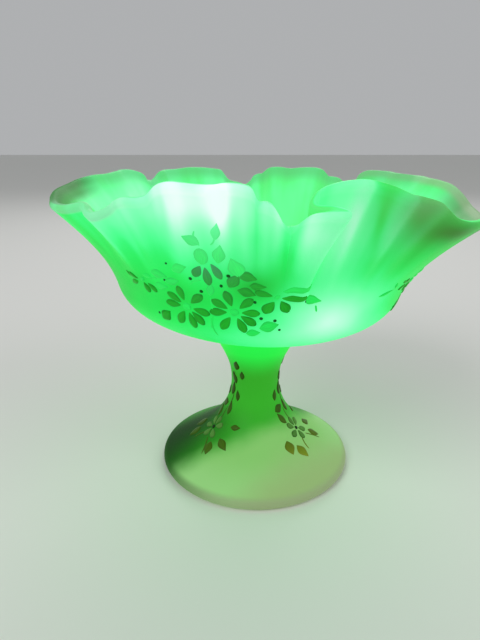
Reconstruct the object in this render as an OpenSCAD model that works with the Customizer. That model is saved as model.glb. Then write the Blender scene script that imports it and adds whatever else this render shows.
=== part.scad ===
// Footed glass dish: a bowl with a hand-crimped rim on a waisted stem and a domed foot,
// with sprays of daisies painted on it in enamel.
// Origin: middle of the ring that the foot stands on. Z is up, and the front faces -Y.

/* [Foot] */
// Radius of the foot at its widest
foot_r = 46; // [44:0.5:48]
// Thickness of the foot's rounded edge
foot_edge = 5.6; // [5:0.1:6]
// Width of the flat ground ring that the foot stands on
ring_w = 3; // [2:0.5:4]
// Thickness of the glass in the foot's dome
foot_wall = 4.5; // [4:0.5:5.5]
// Height of the hot weld between foot and stem
foot_weld_z = 24; // [22:0.5:26]

/* [Stem] */
// Radius of the stem's waist
waist_r = 11.5; // [10.5:0.5:13]
// Height of the waist
waist_z = 42; // [40:0.5:44]
// Height of the hot weld between stem and bowl
bowl_weld_z = 69; // [68:0.5:70]
// Radius of that weld
bowl_weld_r = 21; // [20:0.5:22]

/* [Bowl] */
// Sideways lean of the bowl on its stem, in degrees
lean = 2; // [0:0.5:2.5]
// Thickness of the glass in the bowl's floor
floor_t = 5; // [4.5:0.1:6]
// Thickness of the glass at the shoulder
shoulder_t = 4.2; // [3.8:0.1:5]
// Thickness of the glass at the rim
rim_t = 3; // [2.6:0.1:3.2]
// Radius of the shoulder, to the middle of the glass
shoulder_r = 60; // [59:0.5:61]
// Height of the shoulder
shoulder_z = 92; // [91:0.5:93]
// How far down the wall the crimps reach: 0 is a rim crimp only, 1 is a straight fade
crimp_reach = 0.42; // [0.3:0.02:0.5]

/* [Enamel] */
// Thickness of the fired enamel
enamel_t = 0.4; // [0.3:0.05:0.6]
// Width of a painted stalk
stalk_w = 0.7; // [0.6:0.05:1]

/* [Hidden] */
$fn = 96;

enamel_gap = 0.15;     // clear of the facets of the bowl
tiny = 0.001;

// ---- Curves ----

function bezier(p, t) =
    p[0] * pow(1 - t, 3) + 3 * p[1] * t * pow(1 - t, 2) + 3 * p[2] * t * t * (1 - t) + p[3] * pow(t, 3);

// Running length along a list of points
function lengths(p, i = 0, sum = 0) =
    i >= len(p) - 1 ? [sum] : concat([sum], lengths(p, i + 1, sum + norm(p[i + 1] - p[i])));

// ---- Pedestal: one outline that the foot and the stem share ----

edge_h = foot_edge / 2;
edge_top = 67.5;       // where the rounded edge runs into the dome, in degrees above level
dome_start = [foot_r - edge_h + edge_h * cos(edge_top), edge_h + edge_h * sin(edge_top)];
dome = [dome_start, [30, 14], [waist_r + 0.8, waist_z / 2], [waist_r, waist_z]];
neck = [[waist_r, waist_z], [waist_r, waist_z + 12], [bowl_weld_r - 4.5, bowl_weld_z - 11],
    [bowl_weld_r, bowl_weld_z]];
outline_steps = 24;
pedestal_outline = concat(
    [for (i = [0:outline_steps - 1]) bezier(dome, i / outline_steps)],
    [for (i = [0:outline_steps]) bezier(neck, i / outline_steps)]);
pedestal_length = lengths(pedestal_outline);

foot_outer = concat(
    [for (a = [-90:22.5:edge_top - 1]) [foot_r - edge_h + edge_h * cos(a), edge_h + edge_h * sin(a)]],
    [for (p = pedestal_outline) if (p[1] < foot_weld_z - tiny) p]);
weld_radius = lookup(foot_weld_z, [for (p = pedestal_outline) [p[1], p[0]]]);
stem_outer = [for (p = pedestal_outline) if (p[1] > foot_weld_z + tiny) p];

// Underside of the foot: a hollow dome inside the ground ring
hollow_r = foot_r - edge_h - ring_w;
hollow = [[hollow_r, 0], [hollow_r - 8, 7], [22, 7], [0, foot_weld_z - foot_wall - 4]];
foot_inner = [for (i = [0:16]) bezier(hollow, i / 16)];

module foot() {
    color("#8cc878")
        rotate_extrude()
            polygon(concat(foot_outer, [[weld_radius, foot_weld_z], [0, foot_weld_z]],
                [for (i = [16:-1:0]) foot_inner[i]]));
}

// The stem ends on the plane of the leaning bowl
module stem() {
    reach = 4;
    color("#45a530")
        difference() {
            rotate_extrude()
                polygon(concat([[0, foot_weld_z], [weld_radius, foot_weld_z]], stem_outer,
                    [[bowl_weld_r + 1.2, bowl_weld_z + reach], [0, bowl_weld_z + reach]]));
            leaning()
                translate([0, 0, bowl_weld_z])
                    cylinder(h = 3 * reach, r = 2 * bowl_weld_r);
        }
}

module leaning() {
    translate([0, 0, bowl_weld_z]) rotate([0, lean, 0]) translate([0, 0, -bowl_weld_z]) children();
}

// ---- Bowl ----

// The crimped rim, chosen by eye, turn by turn: [direction, radius, height] of the middle of the glass
rim = [
    // Wide lobe, right and back
    [-2, 89, 127], [3, 88, 131], [8, 87, 134], [13, 85, 135.5], [17, 84, 136], [22, 86, 136.5],
    [27, 87.5, 136.5], [32, 84, 137], [37, 86, 137.5], [42, 84.5, 137.6], [44.6, 82.6, 137.4],
    [46, 81, 136.4], [46.7, 80.2, 134.6],
    // Right crease, which hangs down
    [47.3, 80.2, 132.4], [49, 81.4, 130.6], [52, 83, 129.8], [55, 83.8, 130.8], [57, 83.8, 132.4],
    [59.2, 82.8, 133],
    // Back lobe, on the right
    [60.8, 81.4, 133.2], [61.7, 80.4, 134.8], [62.9, 80.3, 136.4], [65.3, 81.5, 137.2],
    [68.5, 81.6, 137.3], [72.5, 81, 136.9], [76.3, 80.3, 136.3], [80.2, 80.6, 136.8],
    [83.4, 80.4, 136.6], [85.2, 79.8, 135.8],
    // Middle crease
    [86.4, 79.6, 134.2], [87.4, 80.6, 133], [89, 82.2, 132.6], [91, 82.8, 131.2], [92.6, 81, 128.6],
    [95, 78.5, 126.6], [98, 77, 127.8],
    // Back lobe, on the left
    [101.5, 79.5, 129], [104, 84.5, 133.6], [107, 85, 134.5], [112, 86, 135], [118, 83, 135],
    [123, 83.5, 134], [127.5, 83.5, 133.6], [130, 82, 133.1],
    // Left crease
    [131.5, 81.8, 131.8], [132.6, 82.2, 129.8], [134, 82.8, 128.2], [136, 82.6, 128.4],
    [138, 81.2, 128.8], [139.1, 80, 129.8],
    // Wide lobe, left and back
    [139.7, 79.8, 131.2], [140.5, 80.6, 132.5], [142, 82.4, 133.3], [144.2, 83.8, 133.8],
    [147, 85, 133.6], [150, 84, 133], [155, 84, 132], [160, 86, 131.5], [166, 88, 130], [172, 88, 128.5],
    // Left tip
    [178, 88, 127.5], [184, 87, 127], [191, 85.8, 126.3], [198, 85, 126], [204, 85.3, 126],
    [210, 85.8, 126], [216, 84.7, 126.3], [219.5, 83.3, 127.2], [222.2, 82.5, 128], [224.6, 83, 127.8],
    [226, 83.6, 126.4], [228, 83.4, 125.7],
    // Front lobe, on the left
    [230.4, 82.2, 126.8], [232.6, 81.2, 128.6], [234.6, 81.4, 130.3], [237.6, 82, 131.4],
    [240.2, 81.2, 131.5], [242.2, 80.4, 132.2], [243.6, 80.6, 133.6], [245.2, 81.8, 135.1],
    [247, 83, 136.2], [249.4, 83.5, 136.9], [251.8, 82, 136.7], [254.6, 80.5, 136.4], [257.6, 81, 136.6],
    [260, 83.4, 137.3], [262.6, 84.6, 137.4], [264.7, 84.4, 136.9], [265.6, 83.6, 136],
    // Small front lobe
    [266.2, 82.2, 134.2], [266.9, 81.4, 132.8], [268, 82.2, 132.8], [269.3, 82.5, 132.1],
    [270.4, 81, 130.4], [271.3, 78.2, 128], [272.6, 75, 126],
    // Low place at the front
    [274.2, 72.2, 124.8], [276, 74.2, 126],
    // Ruffle folded over on itself
    [277.5, 80, 129.5], [280, 85, 131], [283, 86.5, 131.5], [282, 81, 132], [279, 76, 132],
    [280, 76, 136], [282.5, 81, 138.5],
    // Front lobe, on the right
    [286, 85, 139.5], [290, 82, 139], [294, 82.5, 137.7], [297, 85, 135.8], [301, 83.6, 134.9],
    [305, 86, 133.4], [308, 86, 131.3], [310.5, 87.5, 128.5], [313, 89.5, 127.5],
    // Right tip
    [318, 89.5, 127], [324, 88.5, 126.5], [332, 88.5, 125.5], [340, 88.5, 124.5], [347, 89, 124.5],
    [353, 89, 125.5]];
n_rim = len(rim);

// The wall below hangs from the mean direction of the turns around each one
spread = 3;
function turn(i) = rim[(i + n_rim) % n_rim][0] + (i < 0 ? -360 : i >= n_rim ? 360 : 0);
function mean_turn(i) = [for (k = [-spread:spread]) 1] * [for (k = [-spread:spread]) turn(i + k)]
    / (2 * spread + 1);
rim_knots = [for (i = [0:n_rim - 1]) concat(rim[i], [mean_turn(i)])];
function knot(i) = rim_knots[(i + n_rim) % n_rim] + floor(i / n_rim) * [360, 0, 0, 360];
function rim_at(u) =
    let (i = floor(u), t = u - i, a = knot(i - 1), b = knot(i), c = knot(i + 1), d = knot(i + 2))
    (2 * b + (c - a) * t + (2 * a - 5 * b + 4 * c - d) * t * t + (3 * b - a - 3 * c + d) * t * t * t) / 2;

// Plain wall, before crimping: floor to shoulder (s = 0 to 1), shoulder to rim (s = 1 to 2)
lower_wall = [[bowl_weld_r, bowl_weld_z + floor_t / 2], [bowl_weld_r + 17, bowl_weld_z + 7],
    [shoulder_r - 4, shoulder_z - 12.5], [shoulder_r, shoulder_z]];
upper_wall = [[shoulder_r, shoulder_z], [shoulder_r + 3.5, shoulder_z + 12], [72, 116], [86, 132]];
function plain(s) = s < 1 ? bezier(lower_wall, s) : bezier(upper_wall, s - 1);
function crimp(s) =
    let (t = max(0, s - 1)) t * t * t + 3 * crimp_reach * t * t * (1 - t) + 0.12 * t * pow(1 - t, 2);
function thickness(s) = lookup(s, [[0, floor_t], [1, shoulder_t], [2, rim_t]]);

// Middle of the glass at turn u and place s
function middle(u, s) =
    let (k = rim_at(u), w = crimp(s), p = plain(s), a = k[3] + w * (k[0] - k[3]),
        r = p[0] + w * (k[1] - upper_wall[3][0]))
    [r * cos(a), r * sin(a), p[1] + w * (k[2] - upper_wall[3][1])];
function unit(v) = v / norm(v);
step_u = 0.12;
step_s = 0.015;
function along(u, s) = unit(middle(u, min(2, s + step_s)) - middle(u, max(0, s - step_s)));
function outward(u, s) = unit(cross(middle(u + step_u, s) - middle(u - step_u, s), along(u, s)));
// Side +1 is the outside of the bowl, -1 the inside
function wall(u, s, side, clear = 0) =
    middle(u, s) + outward(u, s) * (side * thickness(s) / 2 + clear);
function rim_round(u, a) =
    middle(u, 2) + (outward(u, 2) * cos(a) + along(u, 2) * sin(a)) * rim_t / 2;

columns = 200;
// Rings of the mesh, from the weld up the outside, over the rim and down the inside
outer_rings = concat([for (s = [0:0.22:0.7]) s], [for (s = [0.8:0.1:1.95]) s]);
inner_rings = [1.88, 1.74, 1.58, 1.4, 1.2, 1, 0.8, 0.6, 0.35, 0];
rim_angles = [0, 50, 90, 130, 180];

module bowl() {
    us = [for (i = [0:columns - 1]) i * n_rim / columns];
    rings = concat(
        [for (s = outer_rings) [for (u = us) s == 0 ? let (a = rim_at(u)[3])
            [bowl_weld_r * cos(a), bowl_weld_r * sin(a), bowl_weld_z] : wall(u, s, 1)]],
        [for (a = rim_angles) [for (u = us) rim_round(u, a)]],
        [for (s = inner_rings) [for (u = us) s == 0 ? let (a = rim_at(u)[3])
            [bowl_weld_r * cos(a), bowl_weld_r * sin(a), bowl_weld_z + floor_t] : wall(u, s, -1)]]);
    n = len(rings);
    last = n * columns;
    points = concat([for (ring = rings) each ring],
        [[0, 0, bowl_weld_z], [0, 0, bowl_weld_z + floor_t]]);
    faces = concat(
        [for (j = [0:n - 2], i = [0:columns - 1]) let (k = (i + 1) % columns)
            each [[j * columns + i, (j + 1) * columns + i, (j + 1) * columns + k],
                [j * columns + i, (j + 1) * columns + k, j * columns + k]]],
        [for (i = [0:columns - 1]) [last, i, (i + 1) % columns]],
        [for (i = [0:columns - 1]) [last + 1, last - columns + (i + 1) % columns, last - columns + i]]);
    color("#40f868")
        leaning()
            polyhedron(points, faces);
}

// ---- Enamel ----
// Each brush stroke follows a centre line, and its width swells and thins along it.
// Places on the glass are [direction in degrees, length up the wall in mm].

wall_steps = 40;
wall_outline = [for (i = [0:wall_steps]) plain(2 * i / wall_steps)];
wall_length = lengths(wall_outline);
place_s = [for (i = [0:wall_steps]) [wall_length[i], 2 * i / wall_steps]];
turn_u = concat([[mean_turn(-1), -1]], [for (i = [0:n_rim - 1]) [mean_turn(i), i]],
    [[mean_turn(0) + 360, n_rim]]);

// A point of the bowl's outside, in the leaning bowl's frame
function on_bowl(place, clear) =
    let (s = lookup(place[1], place_s), u = lookup(place[0] - (place[0] > 352 ? 360 : 0), turn_u))
    wall(u, s, 1, clear);
function bowl_radius(place) = plain(lookup(place[1], place_s))[0] + shoulder_t / 2;

// A point of the stem's or the foot's outside
pedestal_r = [for (i = [0:len(pedestal_outline) - 1]) [pedestal_length[i], pedestal_outline[i][0]]];
pedestal_z = [for (i = [0:len(pedestal_outline) - 1]) [pedestal_length[i], pedestal_outline[i][1]]];
function on_pedestal(place, clear) =
    let (l = place[1], r = lookup(l, pedestal_r), z = lookup(l, pedestal_z),
        d = unit([lookup(l + 0.5, pedestal_r) - lookup(l - 0.5, pedestal_r),
            lookup(l + 0.5, pedestal_z) - lookup(l - 0.5, pedestal_z)]),
        rr = r + d[1] * clear)
    [rr * cos(place[0]), rr * sin(place[0]), z - d[0] * clear];
function pedestal_radius(place) = lookup(place[1], pedestal_r);

// Outlines of a stroke: half widths from the root to the tip
petal_shape = [0.12, 0.45, 0.75, 0.97, 1, 0.8, 0.25];
leaf_shape = [0.06, 0.6, 0.95, 1, 0.75, 0.38, 0.05];
round_shape = [0.3, 0.78, 0.97, 1, 0.97, 0.78, 0.3];
stalk_shape = [0.6, 1, 1, 1, 1, 0.9, 0.5];

// A stroke is [place of its root, direction in degrees, length, width, bend, shape]
function stroke_line(k) =
    [for (i = [0:len(k[5]) - 1]) let (t = i / (len(k[5]) - 1), a = k[1])
        [k[2] * t * cos(a) - k[4] * sin(180 * t) * sin(a), k[2] * t * sin(a) + k[4] * sin(180 * t) * cos(a)]];
function stroke_points(k, onto, scale_r) =
    let (line = stroke_line(k), n = len(line), deg = 180 / PI / scale_r)
    [for (i = [0:n - 1])
        let (d = unit(line[min(n - 1, i + 1)] - line[max(0, i - 1)]), h = k[3] / 2 * k[5][i])
        each [for (e = [[1, 0], [-1, 0], [1, 1], [-1, 1]])
            let (p = line[i] + e[0] * h * [-d[1], d[0]])
            onto ? on_bowl([k[0][0] + p[0] * deg, k[0][1] + p[1]], enamel_gap + e[1] * enamel_t)
                 : on_pedestal([k[0][0] + p[0] * deg, k[0][1] + p[1]], enamel_gap + e[1] * enamel_t)]];
// Vertices go left and right below, then left and right above, at each step along the stroke
function stroke_faces(n, b) = concat(
    [for (i = [0:n - 2]) let (c = b + 4 * i) each [
        [c + 2, c + 3, c + 7], [c + 2, c + 7, c + 6], [c, c + 5, c + 1], [c, c + 4, c + 5],
        [c, c + 2, c + 6], [c, c + 6, c + 4], [c + 1, c + 7, c + 3], [c + 1, c + 5, c + 7]]],
    [[b, b + 1, b + 3], [b, b + 3, b + 2]],
    let (c = b + 4 * (n - 1)) [[c, c + 3, c + 1], [c, c + 2, c + 3]]);

module paint(strokes, bowl_side) {
    each_n = len(petal_shape);
    points = [for (k = strokes) each stroke_points(k, bowl_side,
        bowl_side ? bowl_radius(k[0]) : pedestal_radius(k[0]))];
    faces = [for (j = [0:len(strokes) - 1]) each stroke_faces(each_n, 4 * each_n * j)];
    polyhedron(points, faces);
}

function petals_around(centre, angles, inner, length, width, r) =
    [for (a = angles) [centre + [inner * cos(a) * 180 / PI / r, inner * sin(a)], a, length, width, 0, petal_shape]];
function petal(az, l, a, length, width) = [[az, l], a, length, width, 0, petal_shape];
// Leaves are placed by their middle
function leaf(az, l, a, length, width, bend = 0) =
    [[az - length / 2 * cos(a) * 180 / PI / 66, l - length / 2 * sin(a)], a, length, width, bend, leaf_shape];
function dot(az, l, size = 1.3) = [[az - size / 2 * 0.87, l], 0, size, size, 0, round_shape];
function stalk(az, l, a, length, bend = 0) = [[az, l], a, length, stalk_w, bend, stalk_shape];
function turned(strokes, by) = [for (k = strokes) concat([k[0] + [by, 0]], [for (i = [1:5]) k[i]])];

bowl_r = 64;
front_petal_strokes = concat(
    // Left daisy, right daisy
    petals_around([245, 50], [105, 41, -13, -47, -77, -122, 177, 145], 2.5, 6.4, 3.4, bowl_r),
    petals_around([260.6, 50], [108, 45, 2, -31, -64, -124, -175, 151], 2.5, 6.4, 3.4, bowl_r),
    // Flower seen from the side at the top, at the left and at the right
    [petal(251.9, 67.4, -122, 5.2, 3.2), petal(253, 67, -84, 7.2, 3.4), petal(254.8, 68.6, -58, 6.8, 3.4),
     petal(228, 59.8, 165, 5.2, 2.8), petal(227.2, 58.2, 205, 5.2, 2.6), petal(229.6, 58.2, -75, 5.2, 3),
     petal(231.2, 58, -48, 5.4, 2.8),
     petal(272.2, 56, -118, 6.2, 4.4), petal(274.4, 56.4, -58, 6.2, 4.4), petal(271.6, 58.6, 172, 6, 3),
     petal(274.6, 57.8, -6, 7.4, 3)]);
front_centre_strokes = [
    [[243.6, 50], 0, 3.2, 3.2, 0, round_shape], [[259.2, 50], 0, 3.2, 3.2, 0, round_shape],
    // Green cups of the flowers seen from the side
    [[252.6, 68], 90, 6.2, 4.6, 0, round_shape], [[229.2, 58.8], 60, 2.6, 1.8, 0, round_shape],
    [[272.4, 57.2], 60, 2.4, 1.8, 0, round_shape]];
front_dark_leaf_strokes = [
    leaf(264.6, 65, 0, 7.6, 4.2), leaf(264.4, 58.6, -10, 6.6, 4), leaf(260.8, 62.6, 60, 6.4, 4),
    leaf(235.4, 44.4, 40, 6.4, 4.4), leaf(267.4, 61.8, 10, 6, 3.6), leaf(223.2, 60.6, 150, 4.4, 1.8)];
front_pale_leaf_strokes = [
    leaf(245.6, 66, 10, 7.2, 4.4), leaf(237.6, 63, -15, 6.8, 4.4), leaf(236.8, 57.4, 0, 6.4, 3.6),
    leaf(241.6, 60.4, 5, 6.6, 3.6), leaf(257.6, 72.4, 75, 7.4, 5.2), leaf(261.4, 67.8, 110, 7.6, 5.4),
    leaf(250.8, 77, 150, 5.4, 4.4), leaf(257.5, 80.6, 75, 6.4, 4), leaf(253.8, 58.4, 80, 5.4, 3),
    leaf(279.6, 61.4, 3, 11.5, 3), leaf(284, 55.6, -10, 6.8, 4), leaf(271.4, 45, 15, 6.8, 4.8),
    leaf(266.4, 42, 10, 5.2, 3.6), leaf(232.2, 61.8, 160, 4.6, 2.6)];
front_stalk_strokes = [
    stalk(253.3, 55.4, -93, 13, 0.8), stalk(253.3, 47, -82, 8.5, -0.6), stalk(252.8, 75, 96, 5.6, 1),
    stalk(255.4, 75.6, 70, 4.4, -0.8), stalk(285.6, 53.4, -75, 2.8, 0), stalk(248, 59.4, 30, 4.6, 0.6),
    stalk(276.4, 60, 14, 5, 0.4), stalk(233, 60, 10, 4, 0.5)];
front_dot_strokes = [
    dot(248.5, 62), dot(250.9, 57.2), dot(257.2, 60.2), dot(238.9, 60.6, 1), dot(232.4, 44.6, 1),
    dot(241.2, 68.4, 1), dot(266.8, 55), dot(259.6, 64.4), dot(268.9, 48.2), dot(273.2, 47.4),
    dot(275, 43.8, 1), dot(281.2, 55.4, 1)];

// The second spray is the first one turned round the bowl, with two long leaves at its tip
side_turn = 97;
side_leaf_strokes = concat(turned(front_pale_leaf_strokes, side_turn),
    [leaf(312.8, 56, 20, 9, 1.8), leaf(315.8, 59.4, -58, 5.4, 1.6)]);

// Pedestal spray, placed around direction 0
spray_petal_strokes = petals_around([0, 26.6], [35, 88, 140, 200, 262, 318], 1.4, 5, 3.3, 22);
spray_centre_strokes = [[[-2.6, 26.6], 0, 2, 2, 0, round_shape]];
spray_leaf_strokes = [
    leaf(-12, 34.5, 120, 7.4, 3.8), leaf(-22, 39.6, 20, 6, 4.4), leaf(10, 39, 95, 7.4, 3.6),
    leaf(2, 49, 80, 7.6, 3.8), leaf(14, 55, 110, 6.6, 3.8), leaf(20, 62.6, 75, 6.2, 3.6),
    leaf(24, 22, -35, 7.4, 4.2), leaf(15, 17.4, -70, 7, 4.6), leaf(-27, 20.6, -95, 7.2, 5),
    leaf(-18, 16.6, -80, 7.4, 4.8), leaf(-18, 46.5, 80, 6, 3), leaf(24, 46.4, 100, 5.6, 3),
    leaf(30, 31.5, 10, 5.4, 3), leaf(33, 57.5, 85, 5, 2.8)];
spray_stalk_strokes = [
    stalk(3, 30, 96, 9, 0.5), stalk(4, 40, 82, 8, -0.4), stalk(5, 21.5, -60, 9.5, 0.6),
    stalk(9, 48, 86, 11, 0.6), stalk(-4, 22, -108, 7, -0.5)];
left_spray = 203;
right_spray = 334;
back_spray = 88;

module bowl_enamel(strokes, colour) { color(colour) leaning() paint(strokes, true); }
module pedestal_enamel(strokes, at, colour) { color(colour) paint(turned(strokes, at), false); }

dark = "#2a9020";
pale = "#38d858";
module front_petals() { bowl_enamel(front_petal_strokes, dark); }
module front_centres() { bowl_enamel(front_centre_strokes, pale); }
module front_dark_leaves() { bowl_enamel(front_dark_leaf_strokes, dark); }
module front_pale_leaves() { bowl_enamel(front_pale_leaf_strokes, pale); }
module front_stalks() { bowl_enamel(front_stalk_strokes, pale); }
module front_dots() { bowl_enamel(front_dot_strokes, "#187818"); }
module side_petals() { bowl_enamel(turned(front_petal_strokes, side_turn), dark); }
module side_centres() { bowl_enamel(turned(front_centre_strokes, side_turn), pale); }
module side_dark_leaves() { bowl_enamel(turned(front_dark_leaf_strokes, side_turn), dark); }
module side_pale_leaves() { bowl_enamel(side_leaf_strokes, pale); }
module side_stalks() { bowl_enamel(turned(front_stalk_strokes, side_turn), pale); }
module side_dots() { bowl_enamel(turned(front_dot_strokes, side_turn), "#187818"); }
module spray_petals(at) { pedestal_enamel(spray_petal_strokes, at, "#a8d090"); }
module spray_centre(at) { pedestal_enamel(spray_centre_strokes, at, "#284818"); }
module spray_leaves(at) { pedestal_enamel(spray_leaf_strokes, at, "#6a8820"); }
module spray_stalk(at) { pedestal_enamel(spray_stalk_strokes, at, "#507030"); }

bowl();
stem();
foot();
front_petals();
front_centres();
front_dark_leaves();
front_pale_leaves();
front_stalks();
front_dots();
side_petals();
side_centres();
side_dark_leaves();
side_pale_leaves();
side_stalks();
side_dots();
spray_petals(left_spray);  // pedestal_left_petals
spray_centre(left_spray);  // pedestal_left_centre
spray_leaves(left_spray);  // pedestal_left_leaves
spray_stalk(left_spray);  // pedestal_left_stalk
spray_petals(right_spray);  // pedestal_right_petals
spray_centre(right_spray);  // pedestal_right_centre
spray_leaves(right_spray);  // pedestal_right_leaves
spray_stalk(right_spray);  // pedestal_right_stalk
spray_petals(back_spray);  // pedestal_back_petals
spray_centre(back_spray);  // pedestal_back_centre
spray_leaves(back_spray);  // pedestal_back_leaves
spray_stalk(back_spray);  // pedestal_back_stalk
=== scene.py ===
# %% [markdown]
# # A footed dish of satin uranium glass
#
# The real object is a bowl on a waisted stem and a domed foot. The bowl's rim was crimped by hand
# while the glass was hot, so no two ruffles are alike. The whole dish was then etched in acid, which
# gives glass a soft, silky skin, and flowers were painted on it in enamel and fired.
# Uranium in the glass turns ultraviolet light into green light, so the dish seems lit from within.
#
# This file builds the visible pieces round a fixed frame. It starts by loading that frame.

# %% Load the frame
import math

import bpy
import numpy as np
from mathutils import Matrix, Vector


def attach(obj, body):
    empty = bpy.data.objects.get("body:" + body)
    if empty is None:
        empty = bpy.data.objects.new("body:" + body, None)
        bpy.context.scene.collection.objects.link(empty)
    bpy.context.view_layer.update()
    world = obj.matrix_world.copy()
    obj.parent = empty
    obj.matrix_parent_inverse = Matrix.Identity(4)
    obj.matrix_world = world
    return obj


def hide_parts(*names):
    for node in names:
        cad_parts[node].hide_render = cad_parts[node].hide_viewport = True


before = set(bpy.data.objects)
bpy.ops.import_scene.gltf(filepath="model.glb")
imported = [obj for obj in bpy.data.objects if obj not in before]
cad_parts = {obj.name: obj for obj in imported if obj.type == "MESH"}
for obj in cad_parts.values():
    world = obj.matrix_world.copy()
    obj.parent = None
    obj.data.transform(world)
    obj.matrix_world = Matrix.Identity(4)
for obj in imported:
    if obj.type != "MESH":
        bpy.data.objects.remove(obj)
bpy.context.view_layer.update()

# %% [markdown]
# ## Colours and nodes
#
# Colours are easiest to name as sRGB hex codes, but a renderer counts light, so its shaders want
# linear numbers. One function does that change for every colour in the file.
# A second function adds one shader node, sets its values and links its inputs.

# %% Colour and node helpers
MM = 0.001


def linear(code):
    """An sRGB hex colour as linear red, green, blue and alpha."""
    parts = [int(code[i:i + 2], 16) / 255 for i in (1, 3, 5)]
    return tuple(c / 12.92 if c <= 0.04045 else ((c + 0.055) / 1.055) ** 2.4 for c in parts) + (1.0,)


def add(tree, kind, inputs=None, **settings):
    """Adds a node. An input is a value, or another node's output socket, which gets linked."""
    node = tree.nodes.new("ShaderNode" + kind)
    for name, value in settings.items():
        setattr(node, name, value)
    for key, value in (inputs or {}).items():
        socket = node.inputs[key]
        if isinstance(value, bpy.types.NodeSocket):
            tree.links.new(value, socket)
        else:
            socket.default_value = value
    return node


def ramp(tree, factor, stops, interpolation="EASE"):
    """A colour ramp through (position, hex colour) stops."""
    node = add(tree, "ValToRGB", {"Fac": factor})
    node.color_ramp.interpolation = interpolation
    elements = node.color_ramp.elements
    while len(elements) < len(stops):
        elements.new(0.5)
    for element, (position, code) in zip(elements, stops):
        element.position = position
        element.color = linear(code)
    return node.outputs["Color"]


# %% [markdown]
# ## The wall of the bowl
#
# A crimped bowl is easy to describe in two steps. First comes a plain wall, turned like a pot:
# a short floor, a round shoulder and a flare. Then the rim is pulled in and out and up and down, and
# the wall below follows it less and less. The rim is a closed curve through a table of points, and a
# Catmull-Rom curve joins them smoothly. The points weren't drawn freehand: they started as measured
# places on the real rim, worked out with a camera and a guessed radius, then rounded and adjusted.
# One ruffle is folded over on itself, so its points turn back for a moment.

# %% The rim's turns: direction in degrees, radius and height in mm
rim_turns = [
    # Wide lobe, right and back
    (-2, 89, 127), (3, 88, 131), (8, 87, 134), (13, 85, 135.5), (17, 84, 136), (22, 86, 136.5),
    (27, 87.5, 136.5), (32, 84, 137), (37, 86, 137.5), (42, 84.5, 137.6), (44.6, 82.6, 137.4),
    (46, 81, 136.4), (46.7, 80.2, 134.6),
    # Right crease, which hangs down
    (47.3, 80.2, 132.4), (49, 81.4, 130.6), (52, 83, 129.8), (55, 83.8, 130.8), (57, 83.8, 132.4),
    (59.2, 82.8, 133),
    # Back lobe, on the right
    (60.8, 81.4, 133.2), (61.7, 80.4, 134.8), (62.9, 80.3, 136.4), (65.3, 81.5, 137.2),
    (68.5, 81.6, 137.3), (72.5, 81, 136.9), (76.3, 80.3, 136.3), (80.2, 80.6, 136.8),
    (83.4, 80.4, 136.6), (85.2, 79.8, 135.8),
    # Middle crease
    (86.4, 79.6, 134.2), (87.4, 80.6, 133), (89, 82.2, 132.6), (91, 82.8, 131.2), (92.6, 81, 128.6),
    (95, 78.5, 126.6), (98, 77, 127.8),
    # Back lobe, on the left
    (101.5, 79.5, 129), (104, 84.5, 133.6), (107, 85, 134.5), (112, 86, 135), (118, 83, 135),
    (123, 83.5, 134), (127.5, 83.5, 133.6), (130, 82, 133.1),
    # Left crease
    (131.5, 81.8, 131.8), (132.6, 82.2, 129.8), (134, 82.8, 128.2), (136, 82.6, 128.4),
    (138, 81.2, 128.8), (139.1, 80, 129.8),
    # Wide lobe, left and back
    (139.7, 79.8, 131.2), (140.5, 80.6, 132.5), (142, 82.4, 133.3), (144.2, 83.8, 133.8),
    (147, 85, 133.6), (150, 84, 133), (155, 84, 132), (160, 86, 131.5), (166, 88, 130), (172, 88, 128.5),
    # Left tip
    (178, 88, 127.5), (184, 87, 127), (191, 85.8, 126.3), (198, 85, 126), (204, 85.3, 126),
    (210, 85.8, 126), (216, 84.7, 126.3), (219.5, 83.3, 127.2), (222.2, 82.5, 128), (224.6, 83, 127.8),
    (226, 83.6, 126.4), (228, 83.4, 125.7),
    # Front lobe, on the left
    (230.4, 82.2, 126.8), (232.6, 81.2, 128.6), (234.6, 81.4, 130.3), (237.6, 82, 131.4),
    (240.2, 81.2, 131.5), (242.2, 80.4, 132.2), (243.6, 80.6, 133.6), (245.2, 81.8, 135.1),
    (247, 83, 136.2), (249.4, 83.5, 136.9), (251.8, 82, 136.7), (254.6, 80.5, 136.4), (257.6, 81, 136.6),
    (260, 83.4, 137.3), (262.6, 84.6, 137.4), (264.7, 84.4, 136.9), (265.6, 83.6, 136),
    # Small front lobe
    (266.2, 82.2, 134.2), (266.9, 81.4, 132.8), (268, 82.2, 132.8), (269.3, 82.5, 132.1),
    (270.4, 81, 130.4), (271.3, 78.2, 128), (272.6, 75, 126),
    # Low place at the front
    (274.2, 72.2, 124.8), (276, 74.2, 126),
    # Ruffle folded over on itself
    (277.5, 80, 129.5), (280, 85, 131), (283, 86.5, 131.5), (282, 81, 132), (279, 76, 132),
    (280, 76, 136), (282.5, 81, 138.5),
    # Front lobe, on the right
    (286, 85, 139.5), (290, 82, 139), (294, 82.5, 137.7), (297, 85, 135.8), (301, 83.6, 134.9),
    (305, 86, 133.4), (308, 86, 131.3), (310.5, 87.5, 128.5), (313, 89.5, 127.5),
    # Right tip
    (318, 89.5, 127), (324, 88.5, 126.5), (332, 88.5, 125.5), (340, 88.5, 124.5), (347, 89, 124.5),
    (353, 89, 125.5)]
turns = len(rim_turns)
print("turns along the rim:", turns)

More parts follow.
